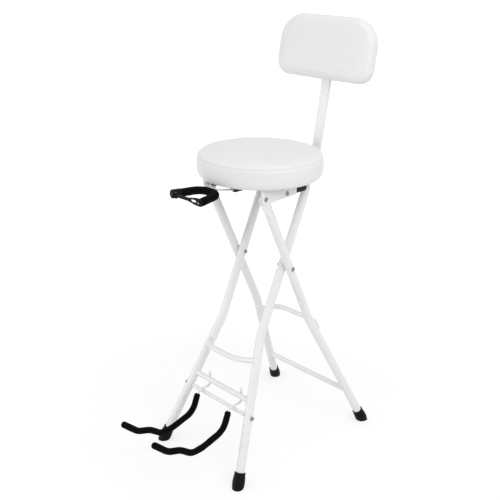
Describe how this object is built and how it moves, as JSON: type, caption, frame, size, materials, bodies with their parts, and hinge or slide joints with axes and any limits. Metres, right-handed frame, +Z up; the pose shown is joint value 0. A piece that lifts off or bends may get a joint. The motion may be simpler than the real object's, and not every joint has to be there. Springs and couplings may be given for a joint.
{
  "type": "guitar stool",
  "caption": "Folding crossed-tube stool with a round padded seat, padded backrest, sliding neck yoke with strap and fold-up padded guitar cradle.",
  "frame": {"origin": "on the floor under the middle of the overall box, with the stool set up", "axes": "+Z up, -Y towards the front where the yoke and the cradle are, +X to the sitter's left"},
  "size_m": [0.3646, 0.6582, 1.0735],
  "materials": {
    "white_paint": "glossy white powder coat",
    "white_vinyl": "soft semi-gloss white vinyl with a fine grain",
    "board": "black-backed board",
    "black_rubber": "satin black rubber",
    "black_foam": "dull black closed-cell foam",
    "white_plastic": "smooth white plastic",
    "black_plastic": "moulded black plastic",
    "zinc_steel": "zinc-plated steel"
  },
  "bodies": {
    "front_frame": {"front_leg_left": "white_paint", "front_leg_right": "white_paint", "front_top_tube": "white_paint", "front_crossbar": "white_paint", "front_stretcher": "white_paint", "front_foot_left": "black_rubber", "front_foot_right": "black_rubber", "pivot_bolts": "zinc_steel", "pivot_nuts": "zinc_steel", "pivot_spacer_left": "white_plastic", "pivot_spacer_right": "white_plastic", "cradle_axle": "white_paint", "cradle_axle_nuts": "zinc_steel"},
    "rear_frame": {"rear_leg_left": "white_paint", "rear_leg_right": "white_paint", "rear_crossbar": "white_paint", "rear_stretcher": "white_paint", "rear_foot_left": "black_rubber", "rear_foot_right": "black_rubber"},
    "seat": {"seat_cushion": "white_vinyl", "seat_board": "board", "seat_bracket_left": "white_paint", "seat_bracket_right": "white_paint", "bracket_cross_rod": "zinc_steel", "bracket_screws": "zinc_steel", "seat_pivot_rivets": "zinc_steel", "seat_pivot_washers": "zinc_steel", "frame_catch_left": "black_plastic", "frame_catch_right": "black_plastic", "top_tube_saddle_left": "black_plastic", "top_tube_saddle_right": "black_plastic", "saddle_screws": "zinc_steel", "yoke_guide_left": "black_plastic", "yoke_guide_right": "black_plastic", "guide_screws": "zinc_steel", "backrest_pad": "white_vinyl", "backrest_board": "board", "backrest_post": "white_paint", "backrest_bolts": "zinc_steel", "post_seat_bolts": "zinc_steel"},
    "yoke": {"yoke_rod": "white_paint", "yoke_foam": "black_foam", "yoke_stem": "white_paint", "yoke_carrier": "white_paint", "carrier_stop_collars": "zinc_steel", "strap_cap": "black_rubber", "strap_pin": "zinc_steel", "strap_stud": "zinc_steel"},
    "strap": {"yoke_strap": "black_rubber"},
    "cradle": {"cradle_hinge_tube": "white_paint", "cradle_arm_left": "white_paint", "cradle_arm_right": "white_paint", "cradle_foam_left": "black_foam", "cradle_foam_right": "black_foam"}
  },
  "joints": [
    {"name": "frame_fold", "type": "hinge", "parent": "front_frame", "child": "rear_frame", "pos_m": [0, 0.07744, 0.501], "axis": [-1, 0, 0], "range_deg": [0, 45]},
    {"name": "seat_fold", "type": "hinge", "parent": "rear_frame", "child": "seat", "pos_m": [0, -0.01465, 0.696], "axis": [1, 0, 0], "range_deg": [0, 106.1]},
    {"name": "yoke_slide", "type": "slide", "parent": "seat", "child": "yoke", "axis": [0, -1, 0], "range_m": [0, 0.06]},
    {"name": "strap_swing", "type": "hinge", "parent": "yoke", "child": "strap", "pos_m": [-0.03209, -0.16584, 0.708], "axis": [0, 0, -1], "range_deg": [0, 90]},
    {"name": "cradle_fold", "type": "hinge", "parent": "front_frame", "child": "cradle", "pos_m": [0, -0.07408, 0.155], "axis": [-1, 0, 0], "range_deg": [0, 105]}
  ],
  "couplings": [
    {"joint": "seat_fold", "follows": "frame_fold", "ratio": 2.356}
  ]
}
